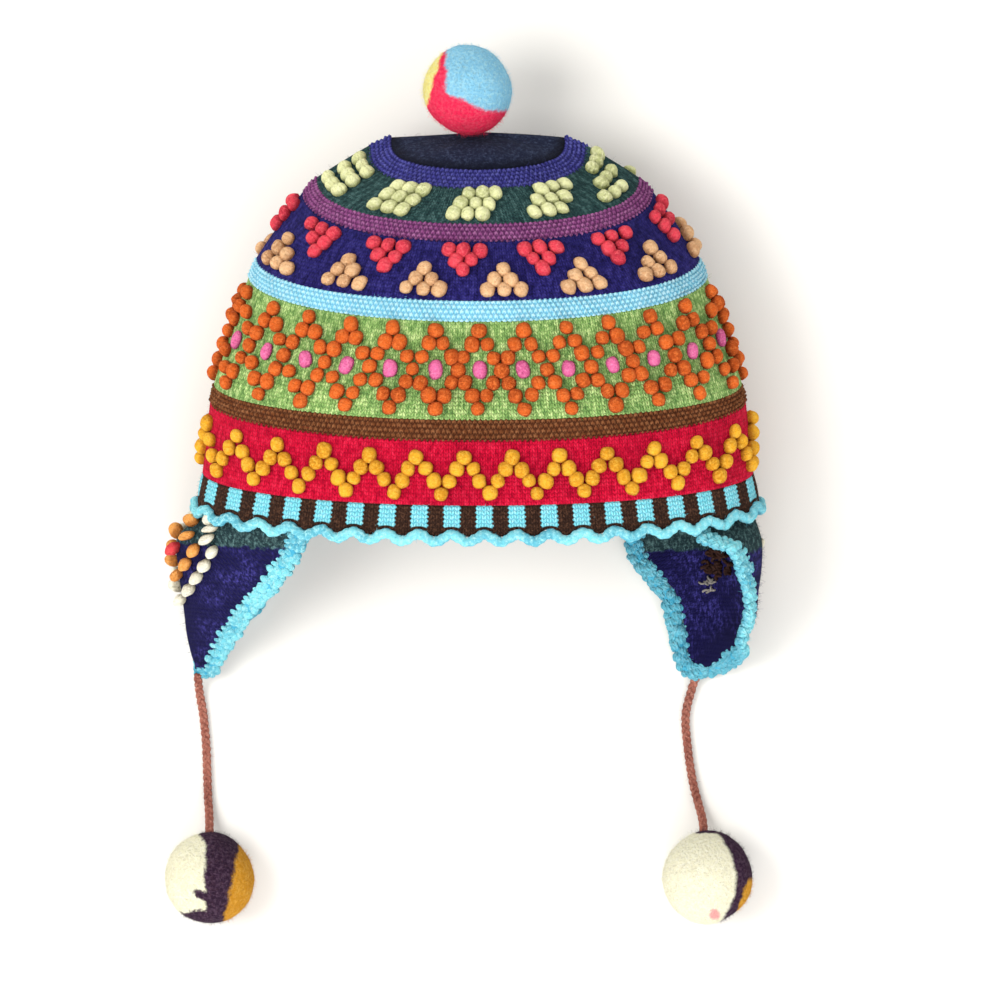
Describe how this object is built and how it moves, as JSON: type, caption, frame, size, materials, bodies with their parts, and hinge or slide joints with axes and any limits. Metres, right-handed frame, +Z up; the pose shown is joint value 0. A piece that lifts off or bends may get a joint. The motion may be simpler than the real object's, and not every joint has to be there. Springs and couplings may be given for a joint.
{
  "type": "chullo hat",
  "caption": "Knitted Andean ear-flap hat lying on its back, with patterned bobble bands, wavy crocheted edge, ear flaps, and twisted ties with felt balls.",
  "frame": {"origin": "Under the middle of the hat, measured without its ties and their balls, on the surface it lies on.", "axes": "+Y from the ear flaps to the crown, +X to the right of the hat as seen from above, +Z up from the surface. The hat's front is on top."},
  "size_m": [0.2664, 0.3861, 0.0977],
  "materials": {
    "charcoal_knit": "felted wool knit",
    "violet_knit": "purl wool knit",
    "dark_green_knit": "wool knit",
    "plum_knit": "purl wool knit",
    "navy_knit": "wool knit",
    "sky_knit": "purl wool knit",
    "leaf_knit": "heathered wool knit",
    "brown_knit": "purl wool knit",
    "red_knit": "wool knit",
    "border_knit": "wool knit in blocks of brown and sky blue",
    "sky_crochet": "crocheted wool",
    "flap_knit": "wool knit",
    "tie_cord": "twisted wool cord",
    "cream_felt": "felted wool",
    "coral_felt": "felted wool"
  },
  "bodies": {
    "root": {"crown_top": "charcoal_knit", "violet_ridge": "violet_knit", "green_band": "dark_green_knit", "plum_ridge": "plum_knit", "navy_band": "navy_knit", "sky_ridge": "sky_knit", "leaf_band": "leaf_knit", "brown_ridge": "brown_knit", "red_band": "red_knit", "striped_border": "border_knit", "scalloped_edge": "sky_crochet", "ear_flap_left": "flap_knit", "ear_flap_right": "flap_knit", "flap_trim_left": "sky_crochet", "flap_trim_right": "sky_crochet", "tie_cord_left": "tie_cord", "tie_cord_right": "tie_cord", "tie_pompom_left": "cream_felt", "tie_pompom_right": "cream_felt", "top_pompom": "coral_felt"}
  },
  "joints": []
}
